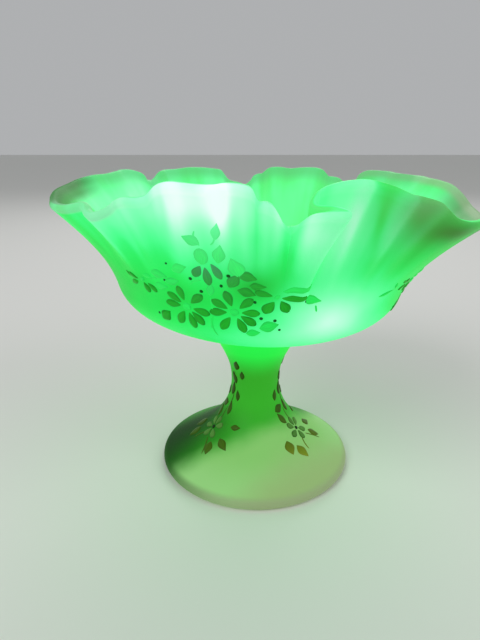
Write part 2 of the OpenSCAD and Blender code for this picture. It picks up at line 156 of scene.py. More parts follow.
# %% Driving sizes, in mm
foot_r, foot_edge, ring_w, foot_wall = 46, 5.6, 3, 4.5
foot_weld_z, bowl_weld_z, bowl_weld_r = 24, 69, 21
waist_r, waist_z = 11.5, 42
lean = math.radians(2)
floor_t, shoulder_t, rim_t = 5, 4.2, 3
shoulder_r, shoulder_z, crimp_reach = 60, 92, 0.42

# %% The wall as a formula
lower_wall = [(bowl_weld_r, bowl_weld_z + floor_t / 2), (bowl_weld_r + 17, bowl_weld_z + 7),
              (shoulder_r - 4, shoulder_z - 12.5), (shoulder_r, shoulder_z)]
upper_wall = [(shoulder_r, shoulder_z), (shoulder_r + 3.5, shoulder_z + 12), (72, 116), (86, 132)]


def bezier(p, t):
    """Points of a cubic curve at the steps t."""
    p, t = np.array(p, float), np.asarray(t, float)[..., None]
    return p[0] * (1 - t) ** 3 + 3 * p[1] * t * (1 - t) ** 2 + 3 * p[2] * t * t * (1 - t) + p[3] * t ** 3


directions = np.array([t[0] for t in rim_turns], float)
thrice = np.concatenate([directions - 360, directions, directions + 360])
mean_direction = np.array([thrice[turns + i - 3:turns + i + 4].mean() for i in range(turns)])
rim_knots = np.column_stack([np.array(rim_turns, float), mean_direction])


def knot(i):
    """One of the rim's turns. The count goes on past the last, round the rim again."""
    return rim_knots[i % turns] + (i // turns)[..., None] * np.array([360.0, 0, 0, 360.0])


def rim_at(u):
    """Direction, radius, height and mean direction of the rim at turn u."""
    i = np.floor(u).astype(int)
    t = (u - i)[..., None]
    a, b, c, d = knot(i - 1), knot(i), knot(i + 1), knot(i + 2)
    return (2 * b + (c - a) * t + (2 * a - 5 * b + 4 * c - d) * t ** 2
            + (3 * b - a - 3 * c + d) * t ** 3) / 2


def plain(s):
    """The wall before crimping: the shoulder is at s = 1 and the rim at s = 2."""
    s = np.asarray(s, float)
    return np.where((s < 1)[..., None], bezier(lower_wall, np.clip(s, 0, 1)),
                    bezier(upper_wall, np.clip(s - 1, 0, 1)))


def crimp(s):
    """How much of the rim's pull the wall follows: none at the shoulder, all at the rim."""
    t = np.clip(s - 1, 0, 1)
    return t ** 3 + 3 * crimp_reach * t * t * (1 - t) + 0.12 * t * (1 - t) ** 2


def thickness(s):
    """The glass thins from the floor to the rim."""
    return np.interp(s, [0, 1, 2], [floor_t, shoulder_t, rim_t])


def middle(u, s):
    """A point in the middle of the glass."""
    k, w, p = rim_at(u), crimp(s), plain(s)
    a = np.radians(k[..., 3] + w * (k[..., 0] - k[..., 3]))
    r = p[..., 0] + w * (k[..., 1] - upper_wall[3][0])
    return np.stack([r * np.cos(a), r * np.sin(a), p[..., 1] + w * (k[..., 2] - upper_wall[3][1])], -1)


def unit(v):
    return v / np.linalg.norm(v, axis=-1, keepdims=True)


step_up, step_round = 0.015, 0.12


def along(u, s):
    """The way up the wall."""
    return unit(middle(u, np.clip(s + step_up, 0, 2)) - middle(u, np.clip(s - step_up, 0, 2)))


def outward(u, s):
    """The way straight out of the wall."""
    return unit(np.cross(middle(u + step_round, s) - middle(u - step_round, s), along(u, s)))


def wall(u, s, side, clear=0.0):
    """A point of the outside (side 1) or the inside (side -1) of the bowl."""
    out = outward(u, s)
    return middle(u, s) + out * (side * thickness(s) / 2 + clear)[..., None]


def leaning(points):
    """The bowl leans a little on its stem."""
    x, y, z = points[..., 0], points[..., 1], points[..., 2] - bowl_weld_z
    return np.stack([x * math.cos(lean) + z * math.sin(lean), y,
                     bowl_weld_z + z * math.cos(lean) - x * math.sin(lean)], -1)


# %% [markdown]
# ## From points to meshes
#
# Each piece below is a grid of points wrapped into a skin. Extra numbers, such as how far up the
# wall a point is, are stored on the mesh as attributes, so that the material can read them.

# %% Mesh helpers
def make_piece(name, points, faces, attributes=None, uv=None):
    """A smooth mesh from points in mm."""
    mesh = bpy.data.meshes.new(name)
    mesh.from_pydata((np.asarray(points) * MM).tolist(), [], faces)
    mesh.polygons.foreach_set("use_smooth", [True] * len(mesh.polygons))
    for key, values in (attributes or {}).items():
        layer = mesh.attributes.new(key, "FLOAT", "POINT")
        layer.data.foreach_set("value", np.asarray(values, np.float32))
    if uv is not None:
        corner = np.zeros(len(mesh.loops), np.int32)
        mesh.loops.foreach_get("vertex_index", corner)
        layer = mesh.uv_layers.new(name="stroke")
        layer.data.foreach_set("uv", np.asarray(uv, np.float32)[corner].ravel())
    mesh.update()
    mesh.set_sharp_from_angle(angle=math.radians(60))
    piece = bpy.data.objects.new(name, mesh)
    bpy.context.scene.collection.objects.link(piece)
    return piece


def ring_faces(rings, columns, start=0):
    """Quads between closed rings of points, stored ring after ring."""
    faces = []
    for j in range(rings - 1):
        for i in range(columns):
            k = (i + 1) % columns
            a, b = start + j * columns, start + (j + 1) * columns
            faces.append((a + i, a + k, b + k, b + i))
    return faces


def settle(piece, node, material):
    """Puts a finished piece on the frame in place of its plain node."""
    piece.data.materials.append(material)
    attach(piece, "root")
    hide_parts(node)


# %% [markdown]
# ## The bowl
#
# The skin starts under the floor, goes up the outside, over the round fire-polished rim and down the
# inside. Three attributes go with it: the way from a point to the rim in mm, how far the glass swells
# out as a crest or in as a valley, and whether a point is inside.

# %% Build the bowl
columns = turns * 6
centre_r = 0.01
u_line = np.arange(columns) * turns / columns
outer_s = np.concatenate([np.linspace(0.02, 1, 26), np.linspace(1.03, 1.985, 32)])
inner_s = np.concatenate([np.linspace(1.985, 1.03, 26), np.linspace(1, 0.02, 20)])
rim_angles = np.radians(np.linspace(0, 180, 9))
neighbours = 3.2


def crest_of(s):
    """How far the wall stands out from its surroundings at height s, in mm."""
    r = np.hypot(*middle(u_line, np.full(columns, s))[:, :2].T)
    reach = int(neighbours * columns / turns)
    wide = np.concatenate([r[-reach:], r, r[:reach]])
    smooth = np.convolve(wide, np.ones(2 * reach + 1) / (2 * reach + 1), "valid")
    return r - smooth


wall_s = np.linspace(0, 2, 201)
wall_steps = np.linalg.norm(np.diff(plain(wall_s), axis=0), axis=1)
wall_length = np.concatenate([[0], np.cumsum(wall_steps)])
rings, rim_distance, crest, inside = [], [], [], []


def add_ring(points, s, is_inside, swell):
    """Keeps a ring of points and its three attributes."""
    rings.append(points)
    rim_distance.append(np.full(columns, wall_length[-1] - np.interp(s, wall_s, wall_length)))
    crest.append(swell)
    inside.append(np.full(columns, float(is_inside)))


def flat_ring(r, z):
    """A level ring, for the middle of the floor."""
    a = np.radians(rim_at(u_line)[:, 3])
    return np.stack([r * np.cos(a), r * np.sin(a), np.full(columns, float(z))], -1)


level = np.zeros(columns)
for r in (centre_r, 10, 20, bowl_weld_r):
    add_ring(flat_ring(r, bowl_weld_z), 0, 0, level)
for s in outer_s:
    add_ring(wall(u_line, np.full(columns, s), 1), s, 0, crest_of(s))
top = np.full(columns, 2.0)
for a in rim_angles:
    out = outward(u_line, top) * math.cos(a) + along(u_line, top) * math.sin(a)
    add_ring(middle(u_line, top) + out * rim_t / 2, 2, a > math.pi / 2, crest_of(2.0))
for s in inner_s:
    add_ring(wall(u_line, np.full(columns, s), -1), s, 1, crest_of(s))
for r in (18, 12, 6, centre_r):
    add_ring(flat_ring(r, bowl_weld_z + floor_t - 0.1), 0, 1, level)
bowl = make_piece(
    "bowl_glass", leaning(np.concatenate(rings)), ring_faces(len(rings), columns),
    {"rim_distance": np.concatenate(rim_distance), "crest": np.concatenate(crest),
     "inside": np.concatenate(inside)})
print("bowl:", len(rings), "rings of", columns, "points")

# %% [markdown]
# ## The stem and the foot
#
# Both are turned shapes that share one flowing outline. The outline is spun about the upright axis.
# The foot is hollow underneath and stands on a narrow ground ring.

# %% Build the stem and the foot
edge_h = foot_edge / 2
edge_top = math.radians(67.5)
dome_start = (foot_r - edge_h + edge_h * math.cos(edge_top), edge_h + edge_h * math.sin(edge_top))
dome = [dome_start, (30, 14), (waist_r + 0.8, waist_z / 2), (waist_r, waist_z)]
neck = [(waist_r, waist_z), (waist_r, waist_z + 12), (bowl_weld_r - 4.5, bowl_weld_z - 11),
        (bowl_weld_r, bowl_weld_z)]
steps = np.linspace(0, 1, 81)
pedestal_outline = np.concatenate([bezier(dome, steps), bezier(neck, steps)[1:]])
pedestal_steps = np.linalg.norm(np.diff(pedestal_outline, axis=0), axis=1)
pedestal_length = np.concatenate([[0], np.cumsum(pedestal_steps)])
weld_radius = float(np.interp(foot_weld_z, pedestal_outline[:, 1], pedestal_outline[:, 0]))
hollow_r = foot_r - edge_h - ring_w
hollow = [(hollow_r, 0), (hollow_r - 8, 7), (22, 7), (centre_r, foot_weld_z - foot_wall - 4)]


def spin(outline, around=160):
    """Rings of points from an outline of (radius, height)."""
    a = np.arange(around) * 2 * math.pi / around
    rings = [np.stack([r * np.cos(a), r * np.sin(a), np.full(around, z)], -1) for r, z in outline]
    return np.concatenate(rings), ring_faces(len(rings), around)


bead = [(foot_r - edge_h + edge_h * math.cos(a), edge_h + edge_h * math.sin(a))
        for a in np.linspace(-math.pi / 2, edge_top, 14)[:-1]]
foot_outline = (
    [(centre_r, hollow[3][1])] + [tuple(p) for p in bezier(hollow, np.linspace(1, 0, 30))] + bead
    + [tuple(p) for p in pedestal_outline if p[1] < foot_weld_z - 0.01]
    + [(weld_radius, foot_weld_z), (centre_r, foot_weld_z)])
stem_outline = (
    [(centre_r, foot_weld_z), (weld_radius, foot_weld_z)]
    + [tuple(p) for p in pedestal_outline if p[1] > foot_weld_z + 0.01])
foot = make_piece("foot_glass", *spin(foot_outline))
stem_points, stem_faces = spin(stem_outline + [(centre_r, bowl_weld_z)])
# The top of the stem follows the lean of the bowl
lift = np.clip((stem_points[:, 2] - waist_z) / (bowl_weld_z - waist_z), 0, 1) ** 3
stem_points[:, 2] -= lift * stem_points[:, 0] * math.tan(lean)
stem = make_piece("stem_glass", stem_points, stem_faces)
print("foot across, mm:", 2 * foot_r, " weld radius, mm:", round(weld_radius, 1))

# %% [markdown]
# ## Satin uranium glass
#
# Acid-etched glass scatters light at its skin, so its highlights are broad and soft: a roughness
# near 0.5 and the usual IOR of glass, 1.5. Light also wanders inside it, which subsurface scattering
# shows. Under an ultraviolet lamp the glass gives off its own green light, brightest where the lamp
# reaches it, and that light and its shade are painted into the emission: a sum of soft pools of
# painted light and painted shade, each with a place and a reach in mm, with painted light on the
# crests and painted shade in the valleys and flutes. The sum picks a colour from a ramp that runs
# from deep green to nearly white, which is the painted highlight where the lamp shines hardest.
# Near the reheated rim the glass struck a brownish tan, and glows less. The specular level is well
# below its usual 0.5, so that the room's white light doesn't wash the glow out.

# %% Small helpers for materials
def spot(tree, position, centre, size):
    """A soft pool: 1 at its centre and falling off smoothly. Centre and sizes are in mm."""
    away = add(tree, "VectorMath", {0: position, 1: [c * MM for c in centre]}, operation="SUBTRACT")
    scaled = add(tree, "VectorMath", {0: away.outputs[0], 1: [1 / (c * MM) for c in size]},
                 operation="MULTIPLY")
    far = add(tree, "VectorMath", {0: scaled.outputs[0], 1: scaled.outputs[0]}, operation="DOT_PRODUCT")
    falling = add(tree, "Math", {0: 1.0, 1: far.outputs["Value"]}, operation="ADD")
    return add(tree, "Math", {0: 1.0, 1: falling.outputs[0]}, operation="DIVIDE").outputs[0]


def math_node(tree, operation, a, b=0.0, clamp=False):
    """One arithmetic step on two numbers or sockets."""
    return add(tree, "Math", {0: a, 1: b}, operation=operation, use_clamp=clamp).outputs[0]


def map_range(tree, value, low, high, to_low=0.0, to_high=1.0, smooth=True):
    """Turns the stretch from low to high into 0 to 1, or into another stretch."""
    return add(tree, "MapRange", {"Value": value, "From Min": low, "From Max": high,
                                  "To Min": to_low, "To Max": to_high},
               interpolation_type="SMOOTHSTEP" if smooth else "LINEAR").outputs["Result"]


def mix(tree, factor, a, b):
    """Blends two colours, given as sockets or hex codes."""
    node = add(tree, "Mix", {"Factor": factor}, data_type="RGBA")
    for index, value in ((6, a), (7, b)):
        if isinstance(value, str):
            node.inputs[index].default_value = linear(value)
        else:
            tree.links.new(value, node.inputs[index])
    return node.outputs[2]


def new_material(name):
    """An empty node material and its tree."""
    material = bpy.data.materials.new(name)
    material.use_nodes = True
    tree = material.node_tree
    tree.nodes.clear()
    return material, tree


# %% Satin skin shared by all the glass
def satin_glass(tree, body_colour, glow_colour, glow, gloss):
    """Etched glass. Its grain is drawn at 0.6 mm, coarser than the real one, so that it shows."""
    place = add(tree, "TexCoord").outputs["Object"]
    grain_size, wave_size = 0.6 * MM, 9 * MM
    grain = add(tree, "TexNoise", {"Vector": place, "Scale": 1 / grain_size, "Detail": 3.0})
    waves = add(tree, "TexNoise", {"Vector": place, "Scale": 1 / wave_size, "Detail": 1.0})
    fine = math_node(tree, "MULTIPLY", grain.outputs["Fac"], 0.25)
    relief = math_node(tree, "ADD", fine, waves.outputs["Fac"])
    bump = add(tree, "Bump", {"Height": relief, "Strength": 0.12, "Distance": 0.4 * MM})
    rough = map_range(tree, grain.outputs["Fac"], 0.3, 0.7, 0.42, 0.56, smooth=False)
    shader = add(tree, "BsdfPrincipled", {
        "Base Color": body_colour, "Roughness": rough, "IOR": 1.5, "Specular IOR Level": gloss,
        "Normal": bump.outputs["Normal"],
        "Subsurface Weight": 0.3, "Subsurface Radius": (0.6, 1.0, 0.7), "Subsurface Scale": 4 * MM,
        "Emission Color": glow_colour, "Emission Strength": glow})
    add(tree, "OutputMaterial", {"Surface": shader.outputs["BSDF"]})


# %% Masks that the glass is coloured by
def weighted(tree, start, parts):
    """A sum of numbers, each with its weight."""
    total = start
    for part, weight in parts:
        total = add(tree, "Math", {0: part, 1: weight, 2: total}, operation="MULTIPLY_ADD").outputs[0]
    return total


def flattened(tree, place):
    """A point's place across the dish, with its height left out."""
    return add(tree, "VectorMath", {0: place, 1: (1.0, 1.0, 0.0)}, operation="MULTIPLY").outputs[0]


def bearing_of(tree, place):
    """The direction of a point from the middle of the dish, one unit long."""
    return add(tree, "VectorMath", {0: flattened(tree, place)}, operation="NORMALIZE").outputs[0]


def towards(tree, place, degrees, low, high):
    """From 0 at low degrees off a direction to 1 at high degrees off it."""
    a = math.radians(degrees)
    aimed = add(tree, "VectorMath", {0: bearing_of(tree, place), 1: (math.cos(a), math.sin(a), 0.0)},
                operation="DOT_PRODUCT")
    return map_range(tree, aimed.outputs["Value"], math.cos(math.radians(low)),
                     math.cos(math.radians(high)))


def product(tree, *factors):
    """Several masks multiplied together."""
    result = factors[0]
    for factor in factors[1:]:
        result = math_node(tree, "MULTIPLY", result, factor)
    return result


# %% The bowl's glass
bowl_glass, tree = new_material("satin_uranium_glass_bowl")
place = add(tree, "TexCoord").outputs["Object"]
height = add(tree, "SeparateXYZ", {"Vector": place}).outputs["Z"]
to_rim = add(tree, "Attribute", attribute_name="rim_distance").outputs["Fac"]
swell = add(tree, "Attribute", attribute_name="crest").outputs["Fac"]
is_inside = add(tree, "Attribute", attribute_name="inside").outputs["Fac"]
is_outside = math_node(tree, "SUBTRACT", 1.0, is_inside)
# Painted light and shade of soft flutes about 9 mm wide runs down from the rim. The noise is laid
# round the dish by direction, so its scale is the rim's radius over a flute's width, and it is drawn
# out along the height
flute_w, mean_rim_r = 9, 85.5
tall = add(tree, "VectorMath", {0: place, 1: (0.0, 0.0, 2.2)}, operation="MULTIPLY").outputs[0]
round_way = add(tree, "VectorMath", {0: bearing_of(tree, place), 1: tall}, operation="ADD").outputs[0]
flute_shading = add(tree, "TexNoise", {"Vector": round_way, "Scale": mean_rim_r / flute_w,
                                "Detail": 1.5}).outputs["Fac"]
flute_shading = map_range(tree, flute_shading, 0.3, 0.7, -1.0, 1.0)
flute_zone = map_range(tree, to_rim, 42.0, 12.0)
cloud_size = 24 * MM
cloud = add(tree, "TexNoise", {"Vector": place, "Scale": 1 / cloud_size, "Detail": 2.0}).outputs["Fac"]

# Centre and reach of each soft pool of painted light, in mm, and how much it adds. A pool with a negative
# amount is painted shade
outside_pools = [
    ((-20, -80, 134), (15, 22, 10), 0.45),  # front lobe
    ((-13.5, -80, 131), (4, 26, 13), 0.26),  # the lamp's own bright streak
    ((-30, -75, 131), (1.8, 22, 12), -0.12),  # painted shade in a flute of the front lobe
    ((-9.5, -80, 128), (2, 22, 12), -0.12),  # and painted shade in a flute beside it
    ((12, -80, 125), (6, 22, 10), 0.25),  # folded ruffle
    ((4, -73, 114), (7, 14, 14), -0.18),  # painted shade in the low place beside it
    ((34, -74, 126), (12, 22, 14), 0.26),  # front lobe on the right
    ((25, -77, 131), (3, 22, 12), 0.14),  # painted highlight on a ridge in it
    ((34.5, -74, 128), (1.8, 22, 12), -0.18),  # and painted shade in the flute beside the ridge
    ((-48, -64, 128), (14, 20, 12), 0.20),  # wall on the left
    ((-4, -67, 104), (8, 14, 7), -0.10),  # painted shade under the painted leaves
    ((-18, -62, 100), (26, 24, 9), -0.16),  # and painted shade round the daisies
    ((25, -60, 91), (25, 30, 14), 0.60),  # belly
    # painted shade low on the front lobe on the right
    ((46, -60, 112), (10, 16, 9), -0.10)]
inside_pools = [((0, 60, 116), (60, 40, 30), 0.34), ((-64, 34, 124), (20, 30, 14), 0.46),
                ((78, 18, 124), (20, 26, 12), 0.34)]
pools = [(product(tree, spot(tree, place, centre, size), side), weight)
         for side, group in ((is_outside, outside_pools), (is_inside, inside_pools))
         for centre, size, weight in group]
# Besides the pools: a broad pool of painted light from the lamp, painted light on crests and painted
# shade in valleys, painted light and shade of flutes, a faint random cloud in the glass, painted light on
# the lower bowl and a thin painted highlight along the rim's edge
total = weighted(tree, 0.10, pools + [
    (spot(tree, place, (-16, -70, 150), (62, 70, 52)), 0.42),
    (product(tree, map_range(tree, swell, -2.2, 2.2, -1.0, 1.0), flute_zone), 0.085),
    (product(tree, flute_shading, flute_zone), 0.055), (map_range(tree, cloud, 0.3, 0.7, -1.0, 1.0), 0.03),
    (map_range(tree, height, 94 * MM, 82 * MM), 0.10), (map_range(tree, to_rim, 2.0, 0.6), 0.03)])
glow_colour = ramp(tree, total, [(0.0, "#0c6a22"), (0.2, "#12a832"), (0.36, "#12dc48"),
                                 (0.46, "#1eea60"), (0.54, "#3cf888"), (0.64, "#60fea0"),
                                 (0.76, "#86ffbc"), (0.88, "#b8ffdc"), (1.0, "#f4ffff")], "B_SPLINE")

# %% The struck rim, painted light and painted shade
# Brownish tan at the right tip and dark olive at the left tip, where the rim struck. A narrow sage
# edge at the back and left is partly the struck colour and partly a painted reflection of the lamp's
# violet light. The inside is painted paler, as painted light, and the inside of the left tip darker,
# as painted shade. Painted shade gives a deeper green round the painted leaves, and green, grey-green
# and dark brown patches lie on the right flank of the front lobe on the right. Each mask runs from 0 to 1
right = product(tree, towards(tree, place, 345, 26, 10), map_range(tree, to_rim, 14.0, 4.0))
far_right = product(tree, towards(tree, place, 15, 46, 26), map_range(tree, to_rim, 4.0, 1.0))
olive = product(tree, spot(tree, place, (47, -72, 128), (5, 12, 6)), is_outside)
sage = product(tree, spot(tree, place, (50, -74, 132), (13, 14, 5)), is_outside)
brown = product(tree, spot(tree, place, (60, -65, 123), (12, 12, 5)), is_outside)
# Painted shade round the painted leaves
leaf_shade = product(tree, spot(tree, place, (-3, -68, 106), (7, 14, 5)), is_outside)
# Inside at the back near the rim: partly struck colour, partly a painted reflection of the lamp's violet
# light
back = product(tree, towards(tree, place, 92, 84, 60), is_inside, map_range(tree, to_rim, 9.0, 1.0))
# Painted shade on the inside of the left tip
left = product(tree, towards(tree, place, 192, 34, 18), is_inside, map_range(tree, to_rim, 12.0, 5.0))
# Along the left rim's edge: partly struck colour, partly a painted reflection of the lamp's violet light
left_edge = product(tree, towards(tree, place, 218, 26, 12), map_range(tree, to_rim, 2.0, 0.4))
left_tip = product(tree, towards(tree, place, 186, 28, 14), map_range(tree, to_rim, 5.0, 1.0))
tints = [
    # The inside is painted paler: painted light of the lamp shining into the bowl
    (is_inside, 0.35, "#88dca0"), (right, 0.85, "#5a7e56"), (far_right, 0.6, "#8f9c80"),
    (olive, 0.7, "#3a9434"), (sage, 0.6, "#708c68"), (brown, 0.8, "#3c4014"),
    (leaf_shade, 0.75, "#189c20"), (back, 0.6, "#58b070"), (left, 0.9, "#1c7410"),
    (left_edge, 0.5, "#8ab89c"), (left_tip, 0.9, "#2c6828")]
for mask, weight, code in tints:
    glow_colour = mix(tree, math_node(tree, "MULTIPLY", mask, weight), glow_colour, code)
print("bowl's glass:", len(pools), "pools of light,", len(tints), "tints")
# The body colour is the glow, its painted light and shade included, drawn towards deep green
body_colour = mix(tree, 0.6, glow_colour, "#0c5020")
satin_glass(tree, body_colour, glow_colour, 0.8, 0.2)

# %% [markdown]
# ## Glass of the stem and the foot
#
# The pedestal is the same glass, but little of the lamp's light reaches it. It glows just under the
# bowl and fades to plain green down the stem, which the bowl shades. On the foot the shade ends in a
# soft edge, and past it the room's own light shows the pale green of the glass. So its colours are
# mixed by place: by height, by radius, and by how far a point lies towards the room's light.

# %% The stem's and the foot's glass
pedestal_glass, tree = new_material("satin_uranium_glass_pedestal")
place = add(tree, "TexCoord").outputs["Object"]
parts = add(tree, "SeparateXYZ", {"Vector": place})
height = parts.outputs["Z"]
cloud_size, edge_wander = 16 * MM, 8 * MM
cloud = add(tree, "TexNoise", {"Vector": place, "Scale": 1 / cloud_size, "Detail": 2.0}).outputs["Fac"]
wander = math_node(tree, "MULTIPLY", math_node(tree, "SUBTRACT", cloud, 0.5), edge_wander)
# How far a point lies towards the room's light, with a soft, wandering edge
room_light = (0.62, -0.78, 0.0)
ahead = add(tree, "VectorMath", {0: place, 1: room_light}, operation="DOT_PRODUCT").outputs["Value"]
ahead = math_node(tree, "ADD", ahead, wander)
# The bowl shades the stem, and the foot's left and back
shade = map_range(tree, ahead, -30 * MM, 16 * MM, smooth=False)
shade_colour = ramp(tree, shade, [(0.0, "#0a3408"), (0.32, "#0c3408"), (0.66, "#247c18"),
                                  (1.0, "#34a028")], "B_SPLINE")
# The painted shade turns a lighter green towards the back
behind = map_range(tree, parts.outputs["Y"], 6 * MM, 34 * MM)
shade_colour = mix(tree, behind, shade_colour, "#2c7c22")
clear_of_shade = math_node(tree, "SUBTRACT", ahead, math_node(tree, "MULTIPLY", height, 1.2))
lit = map_range(tree, clear_of_shade, -21 * MM, -2 * MM)
lit_colour = mix(tree, map_range(tree, height, 16 * MM, 6 * MM), "#7cb464", "#88bc74")
lit_colour = mix(tree, map_range(tree, ahead, 20 * MM, 42 * MM), lit_colour, "#8aa66c")
colour = mix(tree, lit, shade_colour, lit_colour)
# Up the stem: plain green in the bowl's painted shade, then painted light just under the bowl
up_stem = map_range(tree, height, 22 * MM, 36 * MM)
colour = mix(tree, math_node(tree, "MULTIPLY", up_stem, 0.8), colour, "#34a826")
near_bowl = map_range(tree, height, 46 * MM, 64 * MM)
colour = mix(tree, near_bowl, colour, "#28f04c")
radius = add(tree, "VectorMath", {0: flattened(tree, place)}, operation="LENGTH").outputs["Value"]
# The foot's rounded edge: struck tan where the room's light falls, and painted shade of dark green on the
# side away from it
edge = map_range(tree, radius, 43 * MM, 46 * MM)
edge_tan_and_shade = mix(tree, map_range(tree, ahead, -10 * MM, 30 * MM), "#184c10", "#869470")
colour = mix(tree, math_node(tree, "MULTIPLY", edge, 0.7), colour, edge_tan_and_shade)
# The body colour carries the same painted light and shade, darkened
body = mix(tree, 0.5, colour, "#0c180a")
satin_glass(tree, body, colour, 0.72, 0.1)
settle(bowl, "bowl", bowl_glass)
settle(stem, "stem", pedestal_glass)
settle(foot, "foot", pedestal_glass)
print("glass pieces: bowl, stem and foot, in", bowl_glass.name, "and", pedestal_glass.name)

# %% [markdown]
# ## Enamel
#
# Enamel is powdered glass in oil, put on with a loaded brush and fired until it melts on. A stroke
# stands a little proud, thickest in its middle, with its edges drawn down to the glass. So each
# stroke is a small domed skin: a line for the brush's path, a width that swells and thins along it,
# and a curved section. It is laid on the bowl's own formula, so it follows every ripple.

# %% Where paint lies on the glass
turn_line = np.concatenate([[mean_direction[-1] - 360], mean_direction, [mean_direction[0] + 360]])
u_of_turn = np.arange(-1, turns + 1)
last_direction = 352


def on_bowl(direction, length, clear):
    """A point of the bowl's outside: direction in degrees, length up the wall in mm."""
    direction = np.where(direction > last_direction, direction - 360, direction)
    s = np.interp(length, wall_length, wall_s)
    return leaning(wall(np.interp(direction, turn_line, u_of_turn), s, 1, clear))


def on_pedestal(direction, length, clear):
    """A point of the stem's or the foot's outside."""
    r, z = (np.interp(length, pedestal_length, pedestal_outline[:, i]) for i in (0, 1))
    ahead, back = length + 0.5, length - 0.5
    d = unit(np.stack([np.interp(ahead, pedestal_length, pedestal_outline[:, i])
                       - np.interp(back, pedestal_length, pedestal_outline[:, i]) for i in (0, 1)], -1))
    rr, a = r + d[..., 1] * clear, np.radians(direction)
    return np.stack([rr * np.cos(a), rr * np.sin(a), z - d[..., 0] * clear], -1)


# %% Brush strokes
PETAL = [0.12, 0.45, 0.75, 0.97, 1, 0.8, 0.25]
LEAF = [0.06, 0.6, 0.95, 1, 0.75, 0.38, 0.05]
ROUND = [0.3, 0.78, 0.97, 1, 0.97, 0.78, 0.3]
STALK = [0.6, 1, 1, 1, 1, 0.9, 0.5]
stalk_w = 0.7
# The bowl's radius, in mm, where its flowers and its leaves are painted
BOWL_R, LEAF_R = 64, 66
rows_along, rows_across = 25, 9
enamel_t, root_t = 0.4, 0.05


def stroke(direction, length_up, angle, length, width, bend=0.0, shape=PETAL):
    """A brush stroke from its root: place on the glass, way it runs in degrees, size in mm."""
    return (direction, length_up, angle, length, width, bend, shape)


def around(direction, length_up, angles, inner, length, width, r):
    """Petals round a flower's centre."""
    return [stroke(direction + inner * math.degrees(math.cos(math.radians(a))) / r,
                   length_up + inner * math.sin(math.radians(a)), a, length, width) for a in angles]


def leaf(direction, length_up, angle, length, width, bend=0.0):
    """A leaf, placed by its middle."""
    a = math.radians(angle)
    return stroke(direction - length / 2 * math.degrees(math.cos(a)) / LEAF_R,
                  length_up - length / 2 * math.sin(a), angle, length, width, bend, LEAF)


def dot(direction, length_up, size=1.3):
    return stroke(direction - size / 2 * 0.87, length_up, 0, size, size, 0, ROUND)


def stalk(direction, length_up, angle, length, bend=0.0):
    return stroke(direction, length_up, angle, length, stalk_w, bend, STALK)


def turned(strokes, by):
    """The same strokes, carried round the dish by some degrees."""
    return [(k[0] + by,) + k[1:] for k in strokes]


def smooth_width(shape, t):
    """The half width along a stroke, rounded at both ends."""
    knots = np.linspace(0, 1, len(shape))
    padded = np.interp(t, knots, shape)
    soft = np.convolve(np.concatenate([[padded[0]] * 2, padded, [padded[-1]] * 2]),
                       [0.1, 0.2, 0.4, 0.2, 0.1], "valid")
    ends = np.sqrt(np.clip(1 - np.abs(2 * t - 1) ** 14, 0, 1))
    return np.maximum(soft * ends, 0.02)


def paint(name, node, strokes, onto, radius_of, material):
    """One coat of enamel: every stroke of one colour, as one piece."""
    points, faces, uv, tone = [], [], [], []
    t = np.linspace(0, 1, rows_along)
    v = np.linspace(-1, 1, rows_across)
    golden = 0.618
    for number, (direction, up, angle, length, width, bend, shape) in enumerate(strokes):
        a = math.radians(angle)
        ahead, side = t * length, bend * np.sin(math.pi * t)
        half = width / 2 * smooth_width(shape, t)
        x0 = ahead * math.cos(a) - side * math.sin(a)
        y0 = ahead * math.sin(a) + side * math.cos(a)
        d = unit(np.stack([np.gradient(x0), np.gradient(y0)], -1))
        x = x0[:, None] - d[:, 1, None] * half[:, None] * v[None]
        y = y0[:, None] + d[:, 0, None] * half[:, None] * v[None]
        dome = np.sqrt(np.clip(1 - v[None] ** 2, 0, 1)) * np.minimum(half[:, None] / 0.8, 1)
        clear = -root_t + (enamel_t + root_t) * dome
        degrees = np.degrees(x / radius_of(up))
        skin = onto((direction + degrees).ravel(), (up + y).ravel(), clear.ravel())
        start = len(points)
        points.extend(skin.tolist())
        for i in range(rows_along - 1):
            for j in range(rows_across - 1):
                c = start + i * rows_across + j
                faces.append((c, c + rows_across, c + rows_across + 1, c + 1))
        uv.extend(np.stack([np.broadcast_to((v + 1) / 2, x.shape), np.broadcast_to(t[:, None], x.shape)],
                           -1).reshape(-1, 2).tolist())
        tone.extend([(number * golden) % 1.0] * x.size)
    piece = make_piece(name, points, faces, {"tone": tone}, uv)
    settle(piece, node, material)
    return piece


# %% [markdown]
# ## Enamel colours
#
# Under ultraviolet light the enamel hides the glowing glass, so every stroke looks darker than the
# ground. The green of the glass still shows through where the paint is thin: in the middle of a
# petal. A petal's rim is darker, where the wet paint drew back and dried thick, and fine streaks
# run along it, from the hairs of the brush. Fired enamel is smooth: roughness 0.35, IOR 1.52. Its
# specular level is low for the same reason as the glass's.

